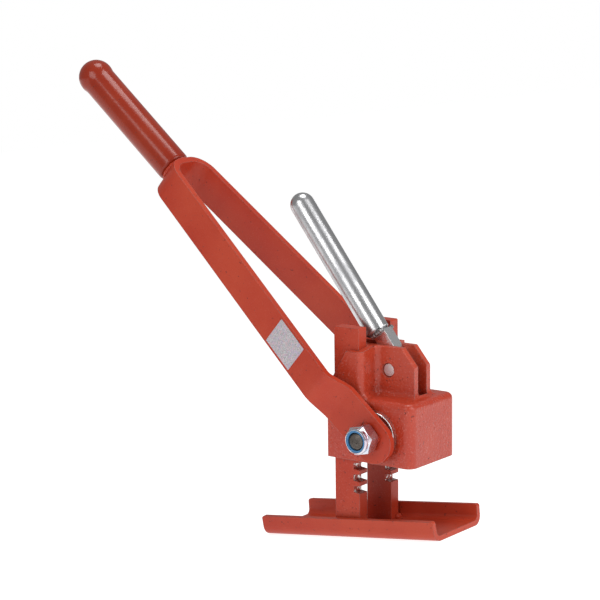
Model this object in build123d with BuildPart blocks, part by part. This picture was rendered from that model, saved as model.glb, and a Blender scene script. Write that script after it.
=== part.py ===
"""Hand tensioner for formwork rapid clamps.

A channel-shaped foot stands over the clamp and carries two upright toothed racks. A cast
housing climbs the racks when the forked handle is pressed down, and a lever-operated cam in
the housing holds the tie rod, so that the rod is pulled through the clamp.

Frame: +Z up, the foot's underside is Z = 0, the rod's centre line meets it at the origin.
+X is the side of the housing's nose, -Y the side of the handle's lock nut. The racks lean
towards +X. Inside the text "rack X" and "rack height" are measured square to and along the
racks, from the front edge of their top ends.
"""

import os
from math import cos, degrees, pi, radians, sin, tan

from build123d import *

os.makedirs("parts", exist_ok=True)

# --- fits and clearances -------------------------------------------------------------------
slide_clearance = 0.3  # housing on the racks, cam between the ears
running_fit = 0.05  # radial, shaft in bushes and cam on its pin
press_fit = 0.02  # radial, bushes, pin, wheels and threads
hole_clearance = 0.4  # radial, bolts in plain holes

# --- foot ----------------------------------------------------------------------------------
plate_length = 186.0
plate_front = 97.0  # from the origin to the front end
plate_thickness = 4.5
plate_margin = 4.1  # floor beside the racks, measured on the middle of the plate
flange_lean = 1.2
flange_height = 16.0  # above the floor's middle
flange_bend = 7.0  # bend radius on the middle of the plate
rod_hole_radius = 8.0

# --- racks ---------------------------------------------------------------------------------
rack_lean = 7.5
rack_height = 182.0  # front edge
rack_width = 26.0
rack_thickness = 11.5
rack_gap = 36.8  # between the two racks
tooth_pitch = 10.47
notch_depth = 6.2
notch_mouth = 6.8
notch_floor = 5.4
notch_count = 12
notches_below_pivot = 5
weld_leg = 4.0

# --- handle drive --------------------------------------------------------------------------
pinion_teeth = 13
pinion_setback = 1.0  # pitch line behind the rack's tooth tips
pinion_addendum = 3.0
pinion_dedendum = 3.0
pinion_tooth_tip = 2.1
pinion_tooth_middle = 4.1
pinion_tooth_root = 5.3
pinion_width = 10.7
pivot_height = -90.0  # rack height with the housing at rest
notch_drop = 1.2  # middle of the driving notch below the pivot
bolt_radius = 8.0
square_size = 2 * bolt_radius + 4
journal_radius = 0.675 * square_size  # clears the corners of the square
square_corner = 2.6
square_stand_out = 2.5  # past the arm's outer face
bolt_short = 1.5  # bolt end inside the nut's collar
hex_across = 3 * bolt_radius
head_height = 10.0
nut_height = 16.0
nut_hex_height = 11.5
nut_collar_radius = 1.4 * bolt_radius
nut_turn = 12.0
insert_radius = bolt_radius + 1.8
insert_height = 3.5
washer_radius = bolt_radius + 7
washer_thickness = 3.0
bush_wall = 4.0
bush_flange_radius = journal_radius + bush_wall + 3
bush_flange = 2.0

# --- housing -------------------------------------------------------------------------------
housing_wall = 4.7
housing_bottom = -116.0
housing_rear_wall = 5.5
collar_top = -16.4
collar_front = 6.5
wing_top_rear = -8.0
wing_drop = 3.6  # fall of the wings' tops towards the sides
wing_shoulder = 17.0  # from the middle to where the fall starts
gusset_foot = -56.0
nose_front = 58.0
nose_wall = 6.5
roof_thickness = 4.7
wheel_room = 1.0  # over and beside the pinion wheels
ear_thickness = 5.9
ear_front = 46.0
ear_shoulder = -32.0
ear_top_front = 33.0
boss_radius = 21.5
boss_stand_out = 0.8
nose_corner = 8.0
cast_radius = 5.5
cast_edge = 1.2

# --- rod grip ------------------------------------------------------------------------------
cam_thickness = 12.4
cam_pin_radius = 6.2
cam_pin_recess = 1.6  # pin end below the ear's face
cam_pin_x = 18.6
cam_pin_height = -37.2
cam_hub_radius = 13.0
cam_swing = 70.0
largest_gap = 11.6  # between cam and jaw with the lever lifted
jaw_thickness = 9.5
jaw_top = -24.0
jaw_bottom = -60.0
jaw_screw_radius = 3.0
jaw_screw_depth = 6.0
jaw_tooth = 3.0
jaw_tooth_count = 11
lever_angle = 127.3  # from rack X
lever_radius = 11.0
lever_start = 33.5  # from the pin
lever_end = 180.0
lever_tail_width = 14.0
lever_offset = 3.0  # bar's centre line in front of the pin
lever_bead = 2.2

# --- handle --------------------------------------------------------------------------------
handle_angle = 139.6  # from rack X
arm_width = 31.7
arm_end_width = 37.6
arm_thickness = 6.0
arm_gap = 81.0  # between the arms at the pivot
arm_overhang = 25.0  # arm end past the pivot
arm_joggle = 41.0  # the arms spread from here
arm_kink = 62.0  # to here, and then close in on the grip
arm_spread = 9.7
arm_taper = 6.84
arm_bend_radius = 16.0
yoke_length = 326.5
yoke_corner = 21.0
grip_radius = 15.7
grip_neck_radius = 12.0
grip_neck = 2.0
grip_end_round = 3.4
grip_bead = 3.0
ball_radius = 16.6
ball_centre = 454.0
ball_blend = 20.0
label_length = 36.0
label_width = 27.0
label_thickness = 0.4
label_place = 112.0

# --- derived places ------------------------------------------------------------------------
rod_x = -rack_width / 2
rack_inner = rack_gap / 2
rack_outer = rack_inner + rack_thickness
plate_half_width = rack_outer + plate_margin
pinion_radius = pinion_teeth * tooth_pitch / (2 * pi)
pivot_x = pinion_radius - pinion_setback
pinion_outer = pinion_radius + pinion_addendum
pinion_root = pinion_radius - pinion_dedendum
housing_half = rack_outer + slide_clearance + housing_wall
pocket_outer = rack_outer + slide_clearance
pocket_inner = rack_inner - slide_clearance
housing_rear = -rack_width - slide_clearance - housing_rear_wall
cavity_top = pivot_height + pinion_outer + wheel_room
nose_top = cavity_top + roof_thickness
slot_half = cam_thickness / 2 + slide_clearance
ear_outer = slot_half + ear_thickness
boss_face = housing_half + boss_stand_out
arm_inner = arm_gap / 2
arm_outer = arm_inner + arm_thickness
square_end = arm_outer + square_stand_out
jaw_back = housing_rear + housing_rear_wall
jaw_face = jaw_back + jaw_thickness
cam_closed = cam_pin_x - jaw_face - slide_clearance
cam_rise = (largest_gap - slide_clearance) / radians(cam_swing)

# --- planes --------------------------------------------------------------------------------
lean = radians(rack_lean)
rack_x_axis = Vector(cos(lean), 0, -sin(lean))
rack_up_axis = Vector(sin(lean), 0, cos(lean))
floor_to_top = rack_up_axis * rack_height
rod_foot = plate_thickness / cos(lean) - rod_x * tan(lean)
rack_origin = rack_x_axis * -rod_x + floor_to_top + rack_up_axis * rod_foot
mid = Plane(origin=rack_origin, x_dir=rack_x_axis, z_dir=(0, -1, 0))


def level(height):
    """Plane square to the racks at a rack height: x along rack X, y along Y."""
    return Plane(mid.from_local_coords((0, height, 0)), x_dir=mid.x_dir, z_dir=mid.y_dir)


def across(place):
    """Plane square to rack X: x along Y, y along the racks."""
    return Plane(mid.from_local_coords((place, 0, 0)), x_dir=(0, 1, 0), z_dir=mid.x_dir)


def turned(place, height, angle):
    """Copy of the mid plane at a point, turned so that its x looks along an angle."""
    direction = mid.x_dir.rotate(Axis((0, 0, 0), (0, -1, 0)), angle)
    return Plane(mid.from_local_coords((place, height, 0)), x_dir=direction, z_dir=mid.z_dir)


pivot = turned(pivot_x, pivot_height, 0)
arm_mid = turned(pivot_x, pivot_height, handle_angle)
arm_flat = Plane(arm_mid.origin, x_dir=arm_mid.x_dir, z_dir=arm_mid.y_dir)
pin_turned = turned(cam_pin_x, cam_pin_height, lever_angle)
lever_mid = pin_turned.offset(0)
lever_mid.origin = pin_turned.from_local_coords((0, -lever_offset, 0))
lever_flat = Plane(lever_mid.origin, x_dir=lever_mid.x_dir, z_dir=lever_mid.y_dir)
pin_mid = turned(cam_pin_x, cam_pin_height, 0)

up = Axis(mid.origin, mid.y_dir)
fore = Axis(mid.origin, mid.x_dir)
jaw_screw_heights = [
    jaw_bottom + (jaw_top - jaw_bottom) * share for share in (0.25, 0.75)
]


def height_of(edge):
    """Rack height of an edge's middle."""
    return mid.to_local_coords(edge @ 0.5).Y


def finish(piece, name):
    """Labels a finished piece and writes it as its own STEP file."""
    piece.part.label = name
    export_step(piece.part, f"parts/{name}.step")


# --- foot ----------------------------------------------------------------------------------
with BuildPart() as foot_plate:
    with BuildSketch(Plane.YZ.offset(plate_front - plate_length)):
        with BuildLine():
            middle = FilletPolyline(
                (-plate_half_width - flange_lean, plate_thickness / 2 + flange_height),
                (-plate_half_width, plate_thickness / 2),
                (plate_half_width, plate_thickness / 2),
                (plate_half_width + flange_lean, plate_thickness / 2 + flange_height),
                radius=flange_bend,
            )
        trace(middle, line_width=plate_thickness)
    extrude(amount=plate_length)
    with BuildSketch(Plane.XY):
        Circle(rod_hole_radius)
    extrude(amount=plate_thickness, mode=Mode.SUBTRACT)
    flange_ends = foot_plate.edges().filter_by(Axis.Y, tolerance=5).sort_by(Axis.Z)[-4:]
    fillet(flange_ends, plate_thickness / 2)
finish(foot_plate, "foot_plate")

rack_base = Plane.XY.offset(plate_thickness)
notch_heights = [
    pivot_height - notch_drop + tooth_pitch * (place - notches_below_pivot)
    for place in range(notch_count)
]

with BuildPart() as rack_right:
    with BuildSketch(mid.offset(-rack_inner)) as bar:
        with Locations((-rack_width / 2, -rack_height / 2 - weld_leg)):
            Rectangle(rack_width, rack_height + 2 * weld_leg)
        with Locations((-rack_width / 2, -rack_height / 2)):
            Rectangle(rack_width, rack_height)
        fillet(bar.vertices().sort_by(Axis.Y)[-2:], 1.2)
        with Locations([(0, height) for height in notch_heights]):
            Polygon(
                (1, notch_mouth / 2),
                (0, notch_mouth / 2),
                (-notch_depth, notch_floor / 2),
                (-notch_depth, -notch_floor / 2),
                (0, -notch_mouth / 2),
                (1, -notch_mouth / 2),
                align=None,
                mode=Mode.SUBTRACT,
            )
    extrude(amount=-rack_thickness)
    split(bisect_by=rack_base, keep=Keep.TOP)
    add(foot_plate.part, mode=Mode.SUBTRACT)
finish(rack_right, "rack_right")

with BuildPart() as rack_left:
    mirror(rack_right.part, about=Plane.XZ)
finish(rack_left, "rack_left")

with BuildPart() as rack_welds:
    seat = mid.from_local_coords((rod_x, -rack_height + rod_x * tan(lean), 0))
    with BuildSketch(rack_base):
        with Locations((seat.X, rack_inner + rack_thickness / 2)):
            Rectangle(rack_width / cos(lean) + 2 * weld_leg, rack_thickness + 2 * weld_leg)
    extrude(amount=weld_leg, taper=40)
    add(rack_right.part, mode=Mode.SUBTRACT)
    mirror(about=Plane.XZ)
    add(foot_plate.part, mode=Mode.SUBTRACT)
finish(rack_welds, "rack_welds")

# --- housing -------------------------------------------------------------------------------
with BuildPart() as housing:
    with BuildSketch(level(housing_bottom)) as nose_plan:
        with Locations(((housing_rear + nose_front) / 2, 0)):
            Rectangle(nose_front - housing_rear, 2 * housing_half)
        fillet(nose_plan.vertices().sort_by(Axis.X)[-2:], nose_corner)
    extrude(amount=nose_top - housing_bottom)
    # collar round the racks with the two ears, cut to their side profile
    with BuildSketch(level(cavity_top)):
        with Locations(((housing_rear + collar_front) / 2, 0)):
            Rectangle(collar_front - housing_rear, 2 * housing_half)
        with Locations((ear_front / 2, 0)):
            Rectangle(ear_front, 2 * ear_outer)
    extrude(amount=collar_top - cavity_top)
    with BuildSketch(mid):
        Polygon(
            (housing_rear, housing_bottom),
            (nose_front, housing_bottom),
            (nose_front, nose_top),
            (ear_front, nose_top),
            (ear_front, ear_shoulder),
            (ear_top_front, collar_top),
            (wing_top_rear, collar_top),
            (housing_rear, gusset_foot),
            align=None,
        )
    extrude(amount=housing_half, both=True, mode=Mode.INTERSECT)
    # one casting radius round the roof, down the wings and in the hollows between them
    side_edges = housing.edges().filter_by(up)
    wing_edges = [e for e in side_edges if abs(height_of(e) - (nose_top + collar_top) / 2) < 1]
    roof_edges = [
        e
        for e in housing.edges()
        if abs(height_of(e) - nose_top) < 0.01 and abs(e.tangent_at(0).dot(mid.y_dir)) < 0.01
    ]
    fillet(wing_edges + roof_edges, cast_radius)
    outline = [
        e
        for e in housing.edges()
        if height_of(e) > ear_shoulder - 8 and abs(abs(e.center().Y) - ear_outer) < 0.01
    ]
    fillet(outline, cast_edge)
    fillet(housing.faces().sort_by(fore)[0].edges().filter_by(up), 3)
    # block between the racks, which carries the jaw
    with BuildSketch(level(cavity_top)):
        with Locations(((housing_rear + collar_front) / 2, 0)):
            Rectangle(collar_front - housing_rear, 2 * pocket_inner)
    extrude(amount=collar_top - cavity_top)
    # bearing bosses
    with BuildSketch(pivot):
        Circle(boss_radius)
    extrude(amount=boss_face, both=True)
    # wing tops that fall away to the sides
    with BuildSketch(across(housing_rear)):
        for side in (-1, 1):
            Polygon(
                (side * wing_shoulder, collar_top),
                (side * (housing_half + 1), collar_top - wing_drop),
                (side * (housing_half + 1), collar_top + 1),
                (side * wing_shoulder, collar_top + 1),
                align=None,
            )
    extrude(amount=collar_front + cast_radius - housing_rear, mode=Mode.SUBTRACT)
    # open cavity for the pinion wheels and the rod
    with BuildSketch(level(housing_bottom)):
        with Locations(((jaw_back + nose_front - nose_wall) / 2, 0)):
            Rectangle(nose_front - nose_wall - jaw_back, 2 * pocket_outer)
    extrude(amount=cavity_top - housing_bottom, mode=Mode.SUBTRACT)
    # rack pockets
    with BuildSketch(level(cavity_top)):
        with Locations(
            (rod_x, (pocket_inner + pocket_outer) / 2), (rod_x, -(pocket_inner + pocket_outer) / 2)
        ):
            Rectangle(rack_width + 2 * slide_clearance, pocket_outer - pocket_inner)
    extrude(amount=collar_top - cavity_top, mode=Mode.SUBTRACT)
    # slot for the cam, deeper where the cam swings down past the roof
    with BuildSketch(mid):
        with Locations(((jaw_back + ear_front + 1) / 2, (nose_top + collar_top + 1) / 2)):
            Rectangle(ear_front + 1 - jaw_back, collar_top + 1 - nose_top)
        with Locations(((jaw_back + cam_pin_x) / 2, (cavity_top + nose_top) / 2)):
            Rectangle(cam_pin_x - jaw_back, nose_top - cavity_top + 1)
    extrude(amount=slot_half, both=True, mode=Mode.SUBTRACT)
    # bores for the shaft bushes, the cam pin and the jaw screws
    with BuildSketch(pivot):
        Circle(journal_radius + bush_wall)
    extrude(amount=boss_face + 1, both=True, mode=Mode.SUBTRACT)
    with BuildSketch(pin_mid):
        Circle(cam_pin_radius + press_fit)
    extrude(amount=ear_outer + 1, both=True, mode=Mode.SUBTRACT)
    with BuildSketch(across(housing_rear)):
        with Locations([(0, height) for height in jaw_screw_heights]):
            Circle(jaw_screw_radius + hole_clearance)
    extrude(amount=housing_rear_wall, mode=Mode.SUBTRACT)
finish(housing, "housing")

with BuildPart() as fixed_jaw:
    with BuildSketch(mid):
        with Locations(((jaw_back + jaw_face) / 2, (jaw_top + jaw_bottom) / 2)):
            Rectangle(jaw_thickness, jaw_top - jaw_bottom)
        with GridLocations(0, jaw_tooth, 1, jaw_tooth_count):
            with Locations((jaw_face, (jaw_top + jaw_bottom) / 2)):
                RegularPolygon(jaw_tooth / 4, 4, rotation=0, mode=Mode.SUBTRACT)
    extrude(amount=cam_thickness / 2, both=True)
    with BuildSketch(across(jaw_back)):
        with Locations([(0, height) for height in jaw_screw_heights]):
            Circle(jaw_screw_radius + press_fit)
    extrude(amount=jaw_screw_depth, mode=Mode.SUBTRACT)
finish(fixed_jaw, "fixed_jaw")

with BuildPart() as jaw_screws:
    head_seat = across(housing_rear)
    with BuildSketch(head_seat):
        with Locations([(0, height) for height in jaw_screw_heights]):
            Circle(jaw_screw_radius)
    extrude(amount=housing_rear_wall + jaw_screw_depth - 1)
    with BuildSketch(head_seat):
        with Locations([(0, height) for height in jaw_screw_heights]):
            RegularPolygon(1.67 * jaw_screw_radius, 6, major_radius=False)
    extrude(amount=-1.3 * jaw_screw_radius)
finish(jaw_screws, "jaw_screws")

with BuildPart() as cam_pin:
    with BuildSketch(pin_mid):
        Circle(cam_pin_radius)
    extrude(amount=ear_outer - cam_pin_recess, both=True)
    chamfer(cam_pin.edges().filter_by(GeomType.CIRCLE), 0.8)
finish(cam_pin, "cam_pin")

with BuildPart() as shaft_bush_left:
    with BuildSketch(pivot.offset(pocket_outer)):
        Circle(journal_radius + bush_wall - press_fit)
        Circle(journal_radius + running_fit, mode=Mode.SUBTRACT)
    extrude(amount=boss_face - pocket_outer)
    with BuildSketch(pivot.offset(boss_face)):
        Circle(bush_flange_radius)
        Circle(journal_radius + running_fit, mode=Mode.SUBTRACT)
    extrude(amount=bush_flange)
    rim = shaft_bush_left.edges().filter_by(GeomType.CIRCLE).sort_by(Axis.Y)[:2]
    chamfer(rim, 0.4)
finish(shaft_bush_left, "shaft_bush_left")

with BuildPart() as shaft_bush_right:
    mirror(shaft_bush_left.part, about=Plane.XZ)
finish(shaft_bush_right, "shaft_bush_right")

# --- rod grip ------------------------------------------------------------------------------
tail_side = lever_tail_width / 2 - lever_radius  # tail flush with the bar's front
spiral_steps = 8
spiral = []
for step in range(spiral_steps + 1):
    swing = radians(cam_swing + 8) * step / spiral_steps
    reach = cam_closed - cam_rise * swing
    spiral.append((-reach * cos(swing), -reach * sin(swing)))

with BuildPart() as grip_cam:
    with BuildSketch(pin_mid):
        with BuildLine():
            face = Spline(*spiral)
            Polyline(face @ 1, (0, -cam_hub_radius), (0, cam_hub_radius), face @ 0)
        make_face()
        Circle(cam_hub_radius)
    extrude(amount=cam_thickness / 2, both=True)
    with BuildSketch(lever_mid):
        with Locations((lever_start / 2, tail_side)):
            Rectangle(lever_start, lever_tail_width)
    extrude(amount=cam_thickness / 2, both=True)
    with BuildSketch(pin_mid):
        Circle(cam_pin_radius + running_fit)
    extrude(amount=cam_thickness, both=True, mode=Mode.SUBTRACT)
finish(grip_cam, "grip_cam")

with BuildPart() as lever_bar:
    with BuildSketch(lever_flat):
        with BuildLine():
            tip = lever_end - lever_radius
            Polyline(
                (tip, lever_radius),
                (lever_start + 3, lever_radius),
                (lever_start, lever_radius - 3),
                (lever_start, 0),
                (lever_end, 0),
            )
            RadiusArc((lever_end, 0), (tip, lever_radius), -lever_radius)
        make_face()
    revolve(axis=Axis(lever_flat.origin, lever_flat.x_dir))
finish(lever_bar, "lever_bar")

with BuildPart() as lever_weld:
    bar_end = Plane(
        lever_mid.from_local_coords((lever_start, tail_side, 0)),
        x_dir=lever_mid.y_dir,
        z_dir=-lever_mid.x_dir,
    )
    with BuildSketch(bar_end):
        RectangleRounded(
            lever_tail_width + 2 * lever_bead, cam_thickness + 2 * lever_bead, lever_bead
        )
    extrude(amount=lever_bead, taper=35)
    add(grip_cam.part, mode=Mode.SUBTRACT)
finish(lever_weld, "lever_weld")

# --- handle drive --------------------------------------------------------------------------
with BuildPart() as drive_shaft:
    with BuildSketch(pivot):
        Circle(journal_radius)
    extrude(amount=boss_face + bush_flange, both=True)
    with BuildSketch(arm_mid):
        RectangleRounded(square_size, square_size, square_corner)
    extrude(amount=square_end, both=True)
    with BuildSketch(pivot):
        Circle(bolt_radius + hole_clearance)
    extrude(amount=square_end, both=True, mode=Mode.SUBTRACT)
    ends = drive_shaft.edges().filter_by(GeomType.CIRCLE).sort_by(Axis.Y)
    chamfer([ends[0], ends[-1]], 0.5)
finish(drive_shaft, "drive_shaft")

wheel_middle = rack_inner + rack_thickness / 2
mesh_angle = 180 + degrees(notch_drop / pinion_radius)  # a tooth in the driving notch

with BuildPart() as pinion_left:
    with BuildSketch(pivot.offset(wheel_middle - pinion_width / 2)):
        Circle(pinion_root)
        with PolarLocations(0, pinion_teeth, start_angle=mesh_angle):
            Polygon(
                (pinion_root - 1, pinion_tooth_root / 2),
                (pinion_root, pinion_tooth_root / 2),
                (pinion_radius, pinion_tooth_middle / 2),
                (pinion_outer, pinion_tooth_tip / 2),
                (pinion_outer, -pinion_tooth_tip / 2),
                (pinion_radius, -pinion_tooth_middle / 2),
                (pinion_root, -pinion_tooth_root / 2),
                (pinion_root - 1, -pinion_tooth_root / 2),
                align=None,
            )
        Circle(journal_radius + press_fit, mode=Mode.SUBTRACT)
    extrude(amount=pinion_width)
finish(pinion_left, "pinion_left")

with BuildPart() as pinion_right:
    mirror(pinion_left.part, about=Plane.XZ)
finish(pinion_right, "pinion_right")

with BuildPart() as pivot_bolt:
    with BuildSketch(pivot.offset(-square_end - washer_thickness)):
        Circle(bolt_radius)
    extrude(amount=2 * square_end + washer_thickness + nut_height - bolt_short)
    chamfer(pivot_bolt.faces().sort_by(Axis.Y)[0].edges(), 1.2)
    with BuildSketch(pivot.offset(-square_end - washer_thickness)):
        RegularPolygon(hex_across / 2, 6, major_radius=False)
    extrude(amount=-head_height)
    with BuildSketch(arm_flat):
        with BuildLine():
            Polyline(
                (0, 0),
                (0, square_end + washer_thickness + head_height),
                (hex_across / 2, square_end + washer_thickness + head_height),
                (hex_across / 2 + 2, square_end + washer_thickness + head_height - 1.2),
                (hex_across / 2 + 2, -square_end - nut_height),
                (0, -square_end - nut_height),
                close=True,
            )
        make_face()
    revolve(axis=Axis((arm_flat.origin), (0, 1, 0)), mode=Mode.INTERSECT)
finish(pivot_bolt, "pivot_bolt")

with BuildPart() as bolt_washer:
    with BuildSketch(pivot.offset(-square_end)):
        Circle(washer_radius)
        Circle(bolt_radius + hole_clearance, mode=Mode.SUBTRACT)
    extrude(amount=-washer_thickness)
    chamfer(bolt_washer.edges().sort_by(Axis.Y)[-2:].sort_by(SortBy.LENGTH)[-1], 0.5)
finish(bolt_washer, "bolt_washer")

with BuildPart() as lock_nut:
    with BuildSketch(pivot.offset(square_end)):
        RegularPolygon(hex_across / 2, 6, rotation=nut_turn, major_radius=False)
    extrude(amount=nut_height)
    with BuildSketch(arm_flat):
        with BuildLine():
            Polyline(
                (0, -square_end),
                (hex_across / 2 + 0.6, -square_end),
                (hex_across / 2 + 2, -square_end - 0.9),
                (hex_across / 2 + 2, -square_end - nut_hex_height + 1.3),
                (nut_collar_radius + 0.3, -square_end - nut_hex_height),
                (nut_collar_radius, -square_end - nut_hex_height - 0.3),
                (nut_collar_radius, -square_end - nut_height + 1.2),
                (nut_collar_radius - 1.2, -square_end - nut_height),
                (0, -square_end - nut_height),
                close=True,
            )
        make_face()
    revolve(axis=Axis((arm_flat.origin), (0, 1, 0)), mode=Mode.INTERSECT)
    with BuildSketch(pivot.offset(square_end)):
        Circle(bolt_radius + press_fit)
    extrude(amount=nut_height, mode=Mode.SUBTRACT)
    with BuildSketch(pivot.offset(square_end + nut_height - insert_height)):
        Circle(insert_radius + press_fit)
    extrude(amount=insert_height, mode=Mode.SUBTRACT)
finish(lock_nut, "lock_nut")

with BuildPart() as nut_insert:
    with BuildSketch(pivot.offset(square_end + nut_height - insert_height)):
        Circle(insert_radius)
        Circle(bolt_radius + press_fit, mode=Mode.SUBTRACT)
    extrude(amount=insert_height - 0.6)
finish(nut_insert, "nut_insert")

# --- handle --------------------------------------------------------------------------------
arm_slope = tan(radians(arm_taper))
kink_outer = arm_outer + arm_spread
yoke_half = kink_outer - arm_slope * (yoke_length - arm_kink)
arm_tail = -arm_overhang - arm_thickness

with BuildPart() as handle_yoke:
    with BuildSketch(arm_flat) as fork:
        Polygon(
            (arm_tail, -arm_outer),
            (arm_joggle, -arm_outer),
            (arm_kink, -kink_outer),
            (yoke_length, -yoke_half),
            (yoke_length, yoke_half),
            (arm_kink, kink_outer),
            (arm_joggle, arm_outer),
            (arm_tail, arm_outer),
            align=None,
        )
        fillet(fork.vertices().group_by(Axis.X)[2], arm_bend_radius)
        fillet(fork.vertices().group_by(Axis.X)[1], arm_bend_radius)
        fillet(fork.vertices().group_by(Axis.X)[-1], yoke_corner)
        offset(amount=-arm_thickness, mode=Mode.SUBTRACT)
        with Locations((arm_tail, 0)):
            Rectangle(2 * arm_thickness + 1, 2 * kink_outer, mode=Mode.SUBTRACT)
    extrude(amount=arm_end_width / 2, both=True)
    with BuildSketch(arm_mid):
        with Locations((arm_end_width / 2 - arm_overhang, 0)):
            Circle(arm_end_width / 2)
        Polygon(
            (arm_end_width / 2 - arm_overhang, -arm_end_width / 2),
            (arm_joggle, -arm_end_width / 2),
            (arm_kink, -arm_width / 2),
            (yoke_length + 1, -arm_width / 2),
            (yoke_length + 1, arm_width / 2),
            (arm_kink, arm_width / 2),
            (arm_joggle, arm_end_width / 2),
            (arm_end_width / 2 - arm_overhang, arm_end_width / 2),
            align=None,
        )
    extrude(amount=kink_outer, both=True, mode=Mode.INTERSECT)
    with BuildSketch(arm_mid):
        RectangleRounded(
            square_size + 2 * press_fit, square_size + 2 * press_fit, square_corner + press_fit
        )
    extrude(amount=arm_outer, both=True, mode=Mode.SUBTRACT)
finish(handle_yoke, "handle_yoke")

grip_seat = yoke_length - arm_thickness / 2

with BuildPart() as handle_grip:
    with BuildSketch(arm_flat) as half_grip:
        with BuildLine():
            neck_end = yoke_length + grip_neck
            ball_start = ball_centre - (ball_radius**2 - grip_radius**2) ** 0.5
            Polyline(
                (grip_seat, 0),
                (grip_seat, grip_neck_radius),
                (neck_end, grip_neck_radius),
                (neck_end, grip_radius),
                (ball_start, grip_radius),
            )
            RadiusArc((ball_start, grip_radius), (ball_centre + ball_radius, 0), ball_radius)
            Line((ball_centre + ball_radius, 0), (grip_seat, 0))
        make_face()
        fillet(half_grip.vertices().sort_by(Axis.X)[-2], ball_blend)
        fillet(half_grip.vertices().group_by(Axis.X)[1].sort_by(Axis.Y)[-1], grip_end_round)
    revolve(axis=Axis(arm_flat.origin, arm_flat.x_dir))
    add(handle_yoke.part, mode=Mode.SUBTRACT)
finish(handle_grip, "handle_grip")

with BuildPart() as grip_weld:
    with BuildSketch(arm_flat):
        Polygon(
            (grip_seat, 0),
            (grip_seat, grip_neck_radius + grip_bead),
            (yoke_length, grip_neck_radius + grip_bead),
            (yoke_length + grip_bead, grip_neck_radius),
            (yoke_length + grip_bead, 0),
            align=None,
        )
    revolve(axis=Axis(arm_flat.origin, arm_flat.x_dir))
    add(handle_yoke.part, mode=Mode.SUBTRACT)
    add(handle_grip.part, mode=Mode.SUBTRACT)
finish(grip_weld, "grip_weld")

taper = radians(arm_taper)
label_side = arm_slope * (label_place - arm_kink) - kink_outer
label_plane = Plane(
    arm_flat.from_local_coords((label_place, label_side, 0)),
    x_dir=arm_flat.x_dir * cos(taper) + Vector(0, sin(taper), 0),
    z_dir=arm_flat.x_dir * sin(taper) - Vector(0, cos(taper), 0),
)

with BuildPart() as data_label:
    with BuildSketch(label_plane):
        RectangleRounded(label_length, label_width, 0.6)
    extrude(amount=label_thickness)
finish(data_label, "data_label")
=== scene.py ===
# %% [markdown]
# # A hand tensioner for formwork rapid clamps
#
# A channel-shaped foot carries two upright toothed racks. A red cast housing climbs the
# racks when the forked handle is pressed down, and a zinc-plated lever turns a cam that grips
# the tie rod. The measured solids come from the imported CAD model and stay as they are. This
# lesson gives each of them its finish, and adds the things a CAD solid leaves out: rippled
# weld beads, spatter and the rolled thread end of the bolt.

from math import cos, pi, radians, sin
from random import Random

import bmesh
import bpy
from mathutils import Matrix, Vector, noise


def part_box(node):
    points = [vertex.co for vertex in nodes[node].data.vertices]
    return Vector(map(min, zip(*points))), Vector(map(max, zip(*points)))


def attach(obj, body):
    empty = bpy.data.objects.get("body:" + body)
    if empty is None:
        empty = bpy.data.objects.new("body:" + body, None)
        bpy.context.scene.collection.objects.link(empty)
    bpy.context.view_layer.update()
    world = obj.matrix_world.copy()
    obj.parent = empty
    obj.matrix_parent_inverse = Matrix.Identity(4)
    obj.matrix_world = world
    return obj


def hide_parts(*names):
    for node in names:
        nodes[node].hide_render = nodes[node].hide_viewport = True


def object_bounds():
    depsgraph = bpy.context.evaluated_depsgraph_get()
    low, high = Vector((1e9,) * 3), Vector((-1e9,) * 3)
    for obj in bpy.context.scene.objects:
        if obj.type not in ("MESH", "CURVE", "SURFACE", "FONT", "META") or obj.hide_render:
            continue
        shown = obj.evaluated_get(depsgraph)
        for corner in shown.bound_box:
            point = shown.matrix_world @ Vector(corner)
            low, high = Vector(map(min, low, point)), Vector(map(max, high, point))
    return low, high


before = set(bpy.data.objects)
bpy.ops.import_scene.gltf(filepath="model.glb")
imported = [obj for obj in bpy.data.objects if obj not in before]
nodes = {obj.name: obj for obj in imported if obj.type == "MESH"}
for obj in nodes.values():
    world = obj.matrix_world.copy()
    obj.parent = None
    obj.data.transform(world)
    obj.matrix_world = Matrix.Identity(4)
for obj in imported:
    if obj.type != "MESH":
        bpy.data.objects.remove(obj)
cad_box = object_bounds()
print("CAD pieces:", len(nodes), "box:", [tuple(round(v, 4) for v in c) for c in cad_box])

# %% [markdown]
# ## Writing a finish as a sum
#
# A shader is a small calculation that runs at every point of a surface. Wiring it by hand
# takes a node and two links for each plus sign. A thin wrapper round a socket lets Python's
# own operators add those nodes, so that a mask reads as `1 - rust * 0.3`. Numbers go through
# Math nodes, but colours and directions would be squashed to a single number there, so the
# wrapper sends colours through Mix and vectors through Vector Math.


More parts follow.
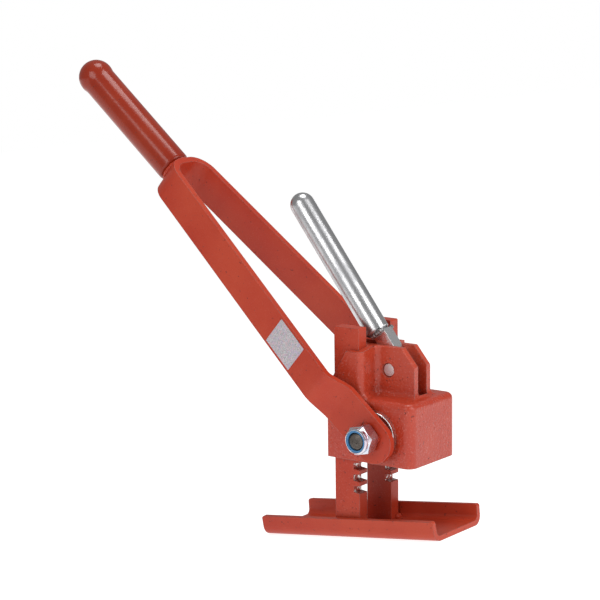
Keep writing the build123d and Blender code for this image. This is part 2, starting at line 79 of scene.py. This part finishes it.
# %% A socket that can be added and multiplied
class Wire:
    """One output of a shader node. +, -, * and / on it add the node that does the sum."""

    def __init__(self, finish, socket):
        self.finish, self.socket = finish, socket

    def combined(self, operation, first, second):
        kinds = {w.socket.type for w in (first, second) if isinstance(w, Wire)}
        if "RGBA" in kinds:
            settings = {"data_type": "RGBA", "blend_type": operation}
            return self.finish.node("Mix", settings, {0: 1.0, 6: first, 7: second}, 2)
        if "VECTOR" in kinds:
            return self.finish.node("VectorMath", {"operation": operation}, {0: first, 1: second})
        return self.finish.node("Math", {"operation": operation}, {0: first, 1: second})

    def __add__(self, other):
        return self.combined("ADD", self, other)

    def __radd__(self, other):
        return self.combined("ADD", other, self)

    def __sub__(self, other):
        return self.combined("SUBTRACT", self, other)

    def __rsub__(self, other):
        return self.combined("SUBTRACT", other, self)

    def __mul__(self, other):
        return self.combined("MULTIPLY", self, other)

    def __rmul__(self, other):
        return self.combined("MULTIPLY", other, self)

    def __truediv__(self, other):
        return self.combined("DIVIDE", self, other)

    def __rtruediv__(self, other):
        return self.combined("DIVIDE", other, self)

    def grey(self):
        """A ramp gives a colour. This takes it back to one number, for use as a mask."""
        return self.finish.node("RGBToBW", None, {0: self})


# %% [markdown]
# ## A finish
#
# Each finish is one material. Its coordinates are the object's own, in metres, so a grain of
# a millimetre is a noise of scale 1000, and it stays on the steel when a joint moves. The one
# method `node` makes any node: its settings go in first, because a setting such as the type
# of a Mix changes which sockets there are, and then its sockets get a number or a link.


# %% The class that makes materials
class Finish:
    """A procedural material, built one node at a time."""

    def __init__(self, name):
        self.material = bpy.data.materials.new(name)
        self.material.use_nodes = True
        self.tree = self.material.node_tree
        self.shader = self.tree.nodes["Principled BSDF"]
        self.place = self.node("TexCoord", output="Object")

    def node(self, kind, settings=None, inputs=None, output=0):
        made = self.tree.nodes.new("ShaderNode" + kind)
        for key, value in (settings or {}).items():
            if key == "stops":
                while len(made.color_ramp.elements) < len(value):
                    made.color_ramp.elements.new(1.0)
                for element, (position, shade) in zip(made.color_ramp.elements, value):
                    element.position, element.color = position, (shade, shade, shade, 1.0)
            else:
                setattr(made, key, value)
        for key, value in (inputs or {}).items():
            self.feed(made.inputs[key], value)
        return Wire(self, made.outputs[output])

    def feed(self, socket, value):
        if isinstance(value, Wire):
            self.tree.links.new(value.socket, socket)
        elif socket.type == "RGBA":
            socket.default_value = (*value, 1.0) if isinstance(value, tuple) else (value,) * 3 + (1.0,)
        elif socket.type == "VECTOR" and not isinstance(value, tuple):
            socket.default_value = (value,) * 3
        else:
            socket.default_value = value

    def surface(self, **values):
        for key, value in values.items():
            self.feed(self.shader.inputs[key.replace("_", " ")], value)

    def noise(self, scale, detail=2.0, roughness=0.5, along=None):
        place = self.place if along is None else self.place * along
        inputs = {"Vector": place, "Scale": scale, "Detail": detail, "Roughness": roughness}
        return self.node("TexNoise", None, inputs, "Fac")

    def step(self, value, low, high):
        stops = {"stops": [(low, 0.0), (high, 1.0)]}
        return self.node("ValToRGB", stops, {0: value}, "Color").grey()

    def mix(self, factor, first, second):
        settings = {"data_type": "RGBA", "blend_type": "MIX"}
        return self.node("Mix", settings, {0: factor, 6: first, 7: second}, 2)


print("Finish and Wire are ready")

# %% [markdown]
# ## Worn edges, painted edge highlights and painted shade in corners
#
# Paint is thin on sharp edges and rubs through there first. Cycles can compare the true
# surface with a slightly rounded one: where the two normals part, there is an edge. The same
# rounded normal softens every machined corner, which is how a real edge catches the light.
# Ambient occlusion finds the inside corners, which are painted darker as shade. The same edge
# mask also paints lighter highlights along edges.


# %% Edge and crevice masks
def rounded(finish, radius):
    """The normal of the surface as if its edges had this radius."""
    return finish.node("Bevel", {"samples": 6}, {"Radius": radius}, "Normal")


def edge_mask(finish, soft_normal):
    """0 on flat and curved faces, rising to 1 across a sharp edge."""
    true_normal = finish.node("NewGeometry", output="Normal")
    agreement = finish.node(
        "VectorMath", {"operation": "DOT_PRODUCT"}, {0: soft_normal, 1: true_normal}, "Value"
    )
    return finish.step(1.0 - agreement, 0.015, 0.16)


def crevice_shade_mask(finish, reach):
    """1 deep in an inside corner, 0 in the open. It is used to paint shade into corners."""
    settings = {"samples": 6, "only_local": True}
    openness = finish.node("AmbientOcclusion", settings, {"Distance": reach}, "AO")
    return finish.step(1.0 - openness, 0.25, 0.9)


# %% [markdown]
# ## Red oxide paint
#
# Everything welded is sprayed in one coat of red-brown machine enamel over bare steel: the
# foot, the racks, the forked handle and its grip. It has a slight orange peel, a colour that
# drifts a little where the coat is thicker, scuffed edges that are also painted lighter as a
# highlight, and a few pinholes. Its inside corners are painted darker as shade. The grip was
# dipped, so its coat is thicker, darker and glossier. A single function makes all of them,
# because only the ground under the paint, its gloss and its tone change.

# %% Red paint on rolled plate and on sand casting
RED = (0.395, 0.0300, 0.0100)
RED_THIN = (0.450, 0.0470, 0.0170)
# the colour of painted shade in inside corners, and of pinholes
RED_SHADE_AND_PINHOLE = (0.150, 0.0150, 0.0080)
# pale colour of scuffs and of the painted highlight on edges
SCUFF_AND_HIGHLIGHT = (0.62, 0.28, 0.24)
BARE = (0.075, 0.060, 0.058)


def paint(name, peel_scale, peel_depth, edge_wear_and_highlight, speckle, gloss=0.40, tone=1.0, shine=0.32):
    finish = Finish(name)
    soft = rounded(finish, 0.0009)
    edge = edge_mask(finish, soft)
    crevice = crevice_shade_mask(finish, 0.012)
    drift = finish.noise(16, 4, 0.55)
    grain = finish.noise(peel_scale, 2, 0.6)
    fleck = finish.noise(peel_scale * 1.7, 1, 0.5)
    scratch = finish.noise(260, 4, 0.7)
    thick, thin = (tuple(channel * tone for channel in shade) for shade in (RED, RED_THIN))
    colour = finish.mix(finish.step(drift, 0.36, 0.66), thick, thin)
    colour = finish.mix(finish.step(fleck, 0.60, 0.70) * speckle, colour, SCUFF_AND_HIGHLIGHT)
    # scuffed edges are lighter: partly wear and partly a painted highlight
    scuff_and_edge_highlight = edge * finish.step(scratch, 0.36, 0.60)
    colour = finish.mix(scuff_and_edge_highlight * edge_wear_and_highlight, colour, SCUFF_AND_HIGHLIGHT)
    through = edge * finish.step(scratch, 0.47, 0.56) * edge_wear_and_highlight
    colour = finish.mix(through, colour, BARE)
    pinhole = finish.step(finish.noise(420, 1, 0.4), 0.72, 0.75)
    # inside corners are painted darker as shade; pinholes are dark too
    shade_and_pinholes = crevice * 0.85 + pinhole * 0.8
    colour = finish.mix(finish.node("Clamp", None, {0: shade_and_pinholes}), colour, RED_SHADE_AND_PINHOLE)
    height = grain + fleck * 0.4 - pinhole * 1.2 - through * 0.8
    bump = {"Strength": 1.0, "Distance": peel_depth, "Height": height, "Normal": soft}
    finish.surface(
        Base_Color=colour,
        Roughness=gloss + 0.10 * drift + 0.1 * scuff_and_edge_highlight,
        Specular_IOR_Level=shine,
        Normal=finish.node("Bump", None, bump),
    )
    return finish


smooth_red = paint("smooth red enamel", 620, 0.00006, 0.85, 0.06, 0.34)
glossy_red = paint("thick glossy red enamel", 300, 0.00004, 0.15, 0.02, 0.14, 0.60)
cast_red = paint("red enamel on sand casting", 430, 0.00045, 0.90, 0.22, 0.27, 1.0, 0.5)
print("paints:", smooth_red.material.name, "/", glossy_red.material.name, "/", cast_red.material.name)

# %% [markdown]
# ## Rubbed racks
#
# The racks wear the same enamel, but the teeth of the pinion wheels ride in their notches and
# chip it off. The bare patches are only on the faces that a tooth touches: those inside the
# notches, which do not face sideways. Their place is measured square to the rack's leaning
# front edge, which is worked out from the node's own box.

# %% Racks with chipped notches
RACK_LEAN = radians(7.5)
RACK_WIDTH = 0.026
PAINTED_TOP = 0.005  # paint stays whole this far down from the racks' top ends


def rubbed_rack():
    finish = paint("rubbed rack enamel", 560, 0.00010, 0.8, 0.12)
    colour_link = finish.shader.inputs["Base Color"].links[0]
    painted = Wire(finish, colour_link.from_socket)
    low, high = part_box("rack_left")
    front = high.x * cos(RACK_LEAN) - high.z * sin(RACK_LEAN)
    square = (cos(RACK_LEAN), 0.0, -sin(RACK_LEAN))
    dot = {"operation": "DOT_PRODUCT"}
    reach = finish.node("VectorMath", dot, {0: finish.place, 1: square}, "Value")
    facing = finish.node("SeparateXYZ", None, {0: finish.node("TexCoord", output="Normal")}, "Y")
    across = finish.node("Math", {"operation": "ABSOLUTE"}, {0: facing})
    behind = finish.step((front - reach) * 100, 0.03, 0.07)
    shallow = finish.step(1.0 - (front - reach) * 100, 0.28, 0.34)
    patch = finish.step(finish.noise(330, 3, 0.6), 0.52, 0.58)
    upward = finish.node("SeparateXYZ", None, {0: finish.place}, "Z")
    below_top = finish.step((high.z - upward) * 0.5 / PAINTED_TOP, 0.45, 0.55)
    bare = behind * shallow * finish.step(1.0 - across, 0.4, 0.6) * patch * below_top
    finish.surface(
        Base_Color=finish.mix(bare, painted, (0.66, 0.65, 0.64)),
        Metallic=bare,
        Roughness=0.42 - 0.08 * bare,
    )
    return finish


rack_red = rubbed_rack()
print("rack finish:", rack_red.material.name)

# %% [markdown]
# ## Zinc
#
# The lever, the bolt and the pins are zinc plated. Plating on a rough bar is not a mirror: it
# has a frosty mottle with streaks along the bar. Its sharp edges are painted brighter as a
# highlight, and its inside corners darker as shade. A noise pulled out along the bar gives the
# streaks, and it changes roughness more than colour.

# %% Zinc plate, with or without frost
SILVER = (0.80, 0.80, 0.81)
EVENLY = (1.0, 1.0, 1.0)


def zinc(name, frost, tint, low_gloss, high_gloss, base=SILVER, shine=0.88, grain=EVENLY):
    finish = Finish(name)
    soft = rounded(finish, 0.0005)
    edge = edge_mask(finish, soft)
    crevice = crevice_shade_mask(finish, 0.004)
    cloud = finish.noise(70, 5, 0.62, along=grain)
    grit = finish.noise(900, 2, 0.6)
    mottle = finish.step(cloud * 0.75 + grit * 0.25, 0.40, 0.60)
    colour = finish.mix(mottle * frost, base, tint)
    # inside corners are painted darker as shade
    colour = finish.mix(crevice * 0.8, colour, (0.16, 0.14, 0.13))
    # sharp edges are painted lighter as a highlight
    colour = finish.mix(edge * 0.5, colour, (shine, shine, shine))
    bump = {"Strength": 1.0, "Distance": 0.00005, "Height": grit + cloud, "Normal": soft}
    finish.surface(
        Base_Color=colour,
        Metallic=1.0,
        Roughness=low_gloss + (high_gloss - low_gloss) * mottle,
        Normal=finish.node("Bump", None, bump),
    )
    return finish


bar_grey, bar_frost, along_bar = (0.62, 0.62, 0.63), (0.40, 0.40, 0.41), (1.0, 1.0, 0.35)
frosted_zinc = zinc("frosted zinc bar", 0.9, bar_frost, 0.20, 0.38, bar_grey, 0.8, along_bar)
weld_zinc = zinc("zinc on rough weld", 1.0, (0.10, 0.10, 0.10), 0.36, 0.6, (0.42, 0.42, 0.42), 0.5)
bright_zinc = zinc("bright zinc", 0.5, (0.58, 0.58, 0.60), 0.20, 0.34)
print("zinc:", frosted_zinc.material.name, "/", bright_zinc.material.name)

# %% [markdown]
# ## Passivated nut
#
# A new lock nut keeps the faint blue and violet film of its passivation. The film is thinner
# than a wavelength of light, so its colour wanders over each flat. Two broad noises choose
# between silver, violet and blue.

# %% Blue passivation film
def passivated():
    finish = zinc("passivated zinc", 0.35, (0.60, 0.60, 0.66), 0.16, 0.30)
    plated = Wire(finish, finish.shader.inputs["Base Color"].links[0].from_socket)
    wander = finish.noise(85, 2, 0.5)
    violet = finish.step(wander, 0.46, 0.60)
    blue = finish.step(1.0 - wander, 0.52, 0.64)
    colour = finish.mix(violet * 0.45, plated, (0.46, 0.28, 0.44))
    finish.surface(Base_Color=finish.mix(blue * 0.40, colour, (0.34, 0.50, 0.72)))
    return finish


nut_zinc = passivated()
print("nut finish:", nut_zinc.material.name)

# %% [markdown]
# ## Hard steel, nylon and foil
#
# The shaft, the pinion wheels and the jaw are hardened steel, dark from the quench and bright
# where they rub. The shaft's square ends stick out of the arms, so they caught the red spray.
# The nut's locking ring is dull blue nylon. The label is a plain foil: silver with a fine
# grain of pink and lilac flecks, and nothing printed on it.

# %% Hard steel, nylon, foil and a dulled bolt
def hardened(name):
    finish = Finish(name)
    soft = rounded(finish, 0.0004)
    edge = edge_mask(finish, soft)
    scale = finish.noise(120, 5, 0.6)
    turned = finish.noise(1200, 1, 0.5)
    colour = finish.mix(finish.step(scale, 0.38, 0.62), (0.13, 0.125, 0.12), (0.26, 0.25, 0.245))
    colour = finish.mix(edge * 0.8, colour, (0.55, 0.54, 0.53))
    bump = {"Strength": 1.0, "Distance": 0.00004, "Height": turned, "Normal": soft}
    finish.surface(
        Base_Color=colour,
        Metallic=0.9,
        Roughness=0.30 + 0.22 * scale,
        Normal=finish.node("Bump", None, bump),
    )
    return finish


def nylon():
    finish = Finish("blue nylon")
    haze = finish.noise(500, 3, 0.6)
    bump = {"Strength": 1.0, "Distance": 0.00006, "Height": haze}
    finish.surface(
        Base_Color=finish.mix(haze, (0.020, 0.11, 0.27), (0.06, 0.24, 0.46)),
        Roughness=0.34 + 0.2 * haze,
        Normal=finish.node("Bump", None, bump),
    )
    return finish


def foil():
    finish = Finish("holographic foil")
    fine = finish.noise(1500, 1, 0.5)
    patchy = finish.noise(520, 2, 0.6)
    pink = finish.step(patchy, 0.50, 0.60)
    colour = finish.mix(finish.step(fine, 0.40, 0.60), (0.30, 0.30, 0.31), (0.62, 0.61, 0.62))
    colour = finish.mix(pink * 0.55, colour, (0.66, 0.40, 0.46))
    lilac = finish.step(finish.noise(430, 2, 0.6, along=(1.3, 1.0, 0.8)), 0.54, 0.62)
    bump = {"Strength": 1.0, "Distance": 0.00003, "Height": fine}
    finish.surface(
        Base_Color=finish.mix(lilac * 0.4, colour, (0.46, 0.36, 0.60)),
        Metallic=0.35,
        Roughness=0.32 + 0.2 * fine,
        Normal=finish.node("Bump", None, bump),
    )
    return finish


def painted_ends(finish, node, depth):
    """Overspray on the two ends of a shaft that lies along Y, this deep (metres)."""
    along = finish.node("SeparateXYZ", None, {0: finish.place}, "Y")
    distance = finish.node("Math", {"operation": "ABSOLUTE"}, {0: along})
    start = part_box(node)[1].y - depth
    sprayed = finish.step((distance - start) * 500.0, 0.2, 0.8)
    steel = Wire(finish, finish.shader.inputs["Base Color"].links[0].from_socket)
    finish.surface(
        Base_Color=finish.mix(sprayed, steel, RED),
        Metallic=0.9 - sprayed * 0.9,
        Roughness=0.42 + finish.noise(120, 4, 0.6) * 0.1,
    )
    return finish


hard_steel, blue_nylon, label_foil = hardened("hardened steel"), nylon(), foil()
SPRAYED_DEPTH = 0.0095  # how far along each end of the shaft the red reaches
shaft_steel = painted_ends(hardened("shaft with sprayed ends"), "drive_shaft", SPRAYED_DEPTH)
dark_bolt = zinc("dulled bolt", 0.9, (0.05, 0.042, 0.038), 0.32, 0.55, (0.16, 0.14, 0.125), 0.34)
small = (hard_steel, shaft_steel, blue_nylon, label_foil, dark_bolt)
print("small finishes:", [finish.material.name for finish in small])

# %% [markdown]
# ## Giving each measured piece its finish
#
# A CAD piece arrives with one plain material slot. Swapping what is in the slot changes the
# look and leaves the shape alone.

# %% Finish for every piece
finishes = {
    smooth_red: ["foot_plate", "handle_yoke", "rack_welds", "grip_weld"],
    glossy_red: ["handle_grip"],
    rack_red: ["rack_left", "rack_right"],
    cast_red: ["housing"],
    frosted_zinc: ["lever_bar"],
    weld_zinc: ["lever_weld"],
    bright_zinc: [
        "cam_pin", "grip_cam", "jaw_screws", "shaft_bush_left", "shaft_bush_right", "bolt_washer",
    ],
    dark_bolt: ["pivot_bolt"],
    nut_zinc: ["lock_nut"],
    shaft_steel: ["drive_shaft"],
    hard_steel: ["pinion_left", "pinion_right", "fixed_jaw"],
    blue_nylon: ["nut_insert"],
    label_foil: ["data_label"],
}
for finish, names in finishes.items():
    for name in names:
        nodes[name].data.materials[0] = finish.material
unfinished = set(nodes) - {name for names in finishes.values() for name in names}
print("pieces without a finish:", sorted(unfinished))

# %% [markdown]
# ## Weld beads
#
# A hand-laid weld is a row of overlapping puddles, each frozen a moment after the last, so a
# bead has scalloped ripples, a width that wanders and rounded ends. It could be a noise on a
# plain tube, but the ripples are what the eye reads. Here a ring is swept along the joint, and
# its radius follows the ripple while a seeded noise makes it uneven.

# %% A rippled bead along a line
RING_SIDES = 18


def bead(name, path, radius, ripple, node, finish, body, over=Vector((0, 0, 1)), seed=0.0):
    """A weld bead along path (metres). ripple is the puddle pitch, over stands on the path."""
    spans = [(b - a).length for a, b in zip(path, path[1:])]
    length = sum(spans)
    rings = max(12, int(length / (ripple / 7)))
    mesh = bmesh.new()
    previous = None
    for i in range(rings + 1):
        travelled = length * i / rings
        span = 0
        while span < len(spans) - 1 and travelled > spans[span]:
            travelled -= spans[span]
            span += 1
        centre = path[span].lerp(path[span + 1], min(1.0, travelled / spans[span]))
        ahead = (path[span + 1] - path[span]).normalized()
        side = ahead.cross(over).normalized()
        up = side.cross(ahead).normalized()
        end = min(i, rings - i) / rings * length / radius
        cap = 1.0 if end >= 1 else max(0.05, (1 - (1 - end) ** 2)) ** 0.5
        wave = abs(sin(pi * length * i / rings / ripple))
        ring = []
        for s in range(RING_SIDES):
            turn = 2 * pi * s / RING_SIDES
            spot = centre * 400 + Vector((cos(turn), sin(turn), seed)) * 0.9
            size = radius * cap * (0.84 + 0.16 * wave + 0.16 * noise.noise(spot))
            out = side * cos(turn) * size + up * sin(turn) * size
            ring.append(mesh.verts.new(centre + out))
        if previous:
            for s in range(RING_SIDES):
                t = (s + 1) % RING_SIDES
                mesh.faces.new((previous[s], previous[t], ring[t], ring[s]))
        else:
            mesh.faces.new(list(reversed(ring)))
        previous = ring
    mesh.faces.new(previous)
    bmesh.ops.recalc_face_normals(mesh, faces=mesh.faces)
    for face in mesh.faces:
        face.smooth = True
    return placed(name, mesh, node, finish, body)


def placed(name, mesh, node, finish, body):
    """Turns mesh code into a piece that rides on a body and stands for a CAD node, if any."""
    data = bpy.data.meshes.new(name)
    mesh.to_mesh(data)
    mesh.free()
    piece = bpy.data.objects.new(name, data)
    bpy.context.scene.collection.objects.link(piece)
    data.materials.append(finish.material)
    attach(piece, body)
    if node:
        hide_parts(node)
    return piece


# %% Beads at the feet of the racks
rack_low, rack_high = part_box("rack_left")
floor_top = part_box("rack_welds")[0].z
foot_back = rack_low.x
foot_front = foot_back + RACK_WIDTH / cos(RACK_LEAN)
FOOT_BEAD_RADIUS = 0.0027
FOOT_RIPPLE = 0.0034
for side, name in ((-1, "left"), (1, "right")):
    outer = side * abs(rack_low.y) + side * 0.0008
    inner = side * abs(rack_high.y)
    height = floor_top + 0.0012
    around = [
        Vector((foot_front + 0.001, outer - side * 0.006, height)),
        Vector((foot_front + 0.001, outer, height)),
        Vector((foot_back + 0.002, outer, height)),
        Vector((foot_back - 0.001, outer - side * 0.002, height)),
        Vector((foot_back - 0.001, inner, height)),
    ]
    bead(f"foot_bead_{name}", around, FOOT_BEAD_RADIUS, FOOT_RIPPLE, "rack_welds",
         smooth_red, "foot", seed=side * 3.0)
print("rack beads from", round(foot_back, 4), "to", round(foot_front, 4))

# %% Beads on the handle and on the cam lever
collar_low, collar_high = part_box("grip_weld")
grip_low, grip_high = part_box("handle_grip")
collar_centre = (Vector(collar_low) + Vector(collar_high)) / 2
grip_way = ((Vector(grip_low) + Vector(grip_high)) / 2 - collar_centre).normalized()
across_way = Vector((0.0, 1.0, 0.0))
third_way = grip_way.cross(across_way).normalized()
COLLAR_BEAD_RADIUS = 0.0023
COLLAR_STEPS = 60
ring_radius = (collar_high.y - collar_low.y) / 2 - 0.0019
ring = []
for i in range(COLLAR_STEPS + 1):
    angle = 2 * pi * i / COLLAR_STEPS
    ring.append(collar_centre + (across_way * cos(angle) + third_way * sin(angle)) * ring_radius)
bead("grip_bead", ring, COLLAR_BEAD_RADIUS, 0.0042, "grip_weld",
     smooth_red, "handle", grip_way, 5.0)

lump_low, lump_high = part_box("lever_weld")
lump_centre = (Vector(lump_low) + Vector(lump_high)) / 2
lump_half = (lump_high.y - lump_low.y) / 2
reach = (lump_high.x - lump_low.x) / 2 - 0.001
drop = (lump_high.z - lump_low.z) / 2 - 0.001
slope = Vector((reach, 0.0, drop))
for side, name in ((-1, "left"), (1, "right")):
    face = Vector((0.0, side * (lump_half - 0.0012), 0.0))
    run = [lump_centre + face - slope, lump_centre + face * 1.05, lump_centre + face + slope]
    bead(f"lever_bead_{name}", run, 0.0021, 0.0029, "lever_weld", weld_zinc,
         "cam_lever", seed=9.0 + side)
print("ring bead radius:", round(ring_radius, 4), "lever bead at", [round(c, 3) for c in lump_centre])

# %% [markdown]
# ## Spatter
#
# Drops thrown off the arc freeze where they land. They could be a bump in the paint, but a
# bump has no outline against the floor of the foot, so each one here is a small squashed ball,
# scattered with a seeded random choice round the racks' feet.

# %% Drops round the racks' feet
DROPS_PER_SIDE = 16
chance = Random(4)
drops = bmesh.new()
for side in (-1, 1):
    for i in range(DROPS_PER_SIDE):
        size = chance.uniform(0.0005, 0.0011)
        spot = Vector((
            chance.uniform(foot_back - 0.012, foot_front + 0.010),
            side * chance.uniform(abs(rack_high.y) - 0.006, abs(rack_low.y) + 0.0035),
            floor_top + 0.0001,
        ))
        made = bmesh.ops.create_icosphere(drops, subdivisions=2, radius=size)
        for vertex in made["verts"]:
            bump = 1 + 0.25 * noise.noise(vertex.co * 1500 + spot * 900)
            vertex.co = vertex.co * bump
            vertex.co.z *= 0.6
            vertex.co += spot
for face in drops.faces:
    face.smooth = True
placed("weld_spatter", drops, None, smooth_red, "foot")
print("drops of spatter:", 2 * DROPS_PER_SIDE)

# %% [markdown]
# ## The end of the bolt
#
# A rolled thread ends in a chamfer, and the blank was held on a centre while it was turned, so
# its face has a small dimple. A lathe does the same here: a profile is spun round the bolt's
# line, and the thread is a row of ridges that run out at the tip.

# %% Thread end, spun like a lathe
THREAD_PITCH = 0.0015
THREAD_SIDES = 64
THREAD_ROOT, THREAD_CREST = 0.00745, 0.00815
nut_low, nut_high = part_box("lock_nut")
bolt_x, bolt_z = (nut_low.x + nut_high.x) / 2, (nut_low.z + nut_high.z) / 2
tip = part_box("pivot_bolt")[0].y
dimple = [(0.0, 0.0003), (0.0012, 0.00005), (0.0020, -0.0006)]  # radius and depth past the tip
profile = dimple + [(0.0056, -0.0007), (0.0068, -0.0003)]
for ridge in range(2):
    start = 0.0012 + ridge * THREAD_PITCH
    profile.append((THREAD_ROOT, start))
    profile.append((THREAD_CREST, start + THREAD_PITCH * 0.4))
    profile.append((THREAD_CREST, start + THREAD_PITCH * 0.6))
lathe = bmesh.new()
rows = []
for radius, depth in profile:
    row = []
    for s in range(THREAD_SIDES if radius else 1):
        angle = 2 * pi * s / THREAD_SIDES
        spot = (bolt_x + radius * cos(angle), tip + depth, bolt_z + radius * sin(angle))
        row.append(lathe.verts.new(spot))
    rows.append(row)
for first, second in zip(rows, rows[1:]):
    for s in range(THREAD_SIDES):
        t = (s + 1) % THREAD_SIDES
        if len(first) == 1:
            lathe.faces.new((first[0], second[s], second[t]))
        else:
            lathe.faces.new((first[s], second[s], second[t], first[t]))
bmesh.ops.recalc_face_normals(lathe, faces=lathe.faces)
placed("bolt_thread_end", lathe, None, dark_bolt, "handle")
print("thread end at", round(tip, 4), "with", len(profile), "profile points")

# %% [markdown]
# ## Light, floor and camera
#
# The tool stands on a plain white floor under three soft boxes. One on the right lights the
# nose of the housing, one in front lights the flat sides, and a smaller one overhead draws the
# highlights along the top edges. The front box stands where flat sides don't mirror it, or its
# reflection would turn the red pink. The world looks white behind the tool but lights it
# dimly, so that the shape keeps its shadows, and the floor glows a little to stay white far
# away. It could be lit by a white world alone, but then every side would be equally bright.

# %% White surroundings and floor
SKY_LIGHT = 0.34
world = bpy.data.worlds.new("white studio")
world.use_nodes = True
sky = world.node_tree.nodes["Background"]
sky.inputs["Color"].default_value = (1.0, 1.0, 1.0, 1.0)
seen = world.node_tree.nodes.new("ShaderNodeLightPath")
level_mix = world.node_tree.nodes.new("ShaderNodeMix")
level_mix.inputs["A"].default_value = SKY_LIGHT
level_mix.inputs["B"].default_value = 1.0
world.node_tree.links.new(seen.outputs["Is Camera Ray"], level_mix.inputs["Factor"])
world.node_tree.links.new(level_mix.outputs["Result"], sky.inputs["Strength"])
bpy.context.scene.world = world
bpy.context.scene.view_settings.view_transform = "Standard"

floor_mesh = bmesh.new()
bmesh.ops.create_grid(floor_mesh, x_segments=2, y_segments=2, size=30.0)
floor_data = bpy.data.meshes.new("floor")
floor_mesh.to_mesh(floor_data)
floor_mesh.free()
floor = bpy.data.objects.new("floor", floor_data)
bpy.context.scene.collection.objects.link(floor)
floor.location.z = cad_box[0].z - 0.0002
floor_paint = Finish("white sweep")
floor_paint.surface(Base_Color=0.45, Roughness=0.9, Emission_Color=1.0, Emission_Strength=0.85)
floor_data.materials.append(floor_paint.material)


# %% Soft boxes
def soft_box(name, place, aim, size, watts):
    light = bpy.data.lights.new(name, "AREA")
    light.shape, light.size, light.size_y, light.energy = "RECTANGLE", size[0], size[1], watts
    lamp = bpy.data.objects.new(name, light)
    bpy.context.scene.collection.objects.link(lamp)
    lamp.location = place
    lamp.rotation_euler = (Vector(aim) - Vector(place)).to_track_quat("-Z", "Y").to_euler()
    return lamp


heart = (0.0, 0.0, 0.2)
soft_box("right box", (1.5, 0.1, 0.9), heart, (1.0, 1.2), 13.0)
soft_box("front box", (0.1, -2.0, 1.25), heart, (1.0, 1.2), 15.0)
soft_box("overhead box", (0.1, 0.2, 1.8), heart, (0.75, 0.75), 11.0)

# %% Camera
AZIMUTH = radians(38.01)  # the camera stands to the front and the nut's side
ELEVATION = radians(5.494)
ROLL = radians(-6.69)
CAMERA_PLACE = Vector((1.09149, -1.4551, 0.38631))
away = Vector((sin(AZIMUTH) * cos(ELEVATION), -cos(AZIMUTH) * cos(ELEVATION), sin(ELEVATION)))
level = Vector((cos(AZIMUTH), sin(AZIMUTH), 0.0))
upright = away.cross(level)
right = level * cos(ROLL) + upright * sin(ROLL)
lens = bpy.data.cameras.new("camera")
lens.sensor_width, lens.lens = 36.0, 124.06
lens.clip_start, lens.clip_end = 0.05, 100.0
camera = bpy.data.objects.new("camera", lens)
bpy.context.scene.collection.objects.link(camera)
turn = Matrix((right, away.cross(right), away)).transposed().to_4x4()
camera.matrix_world = Matrix.Translation(CAMERA_PLACE) @ turn
bpy.context.scene.camera = camera
print("camera at", tuple(CAMERA_PLACE))
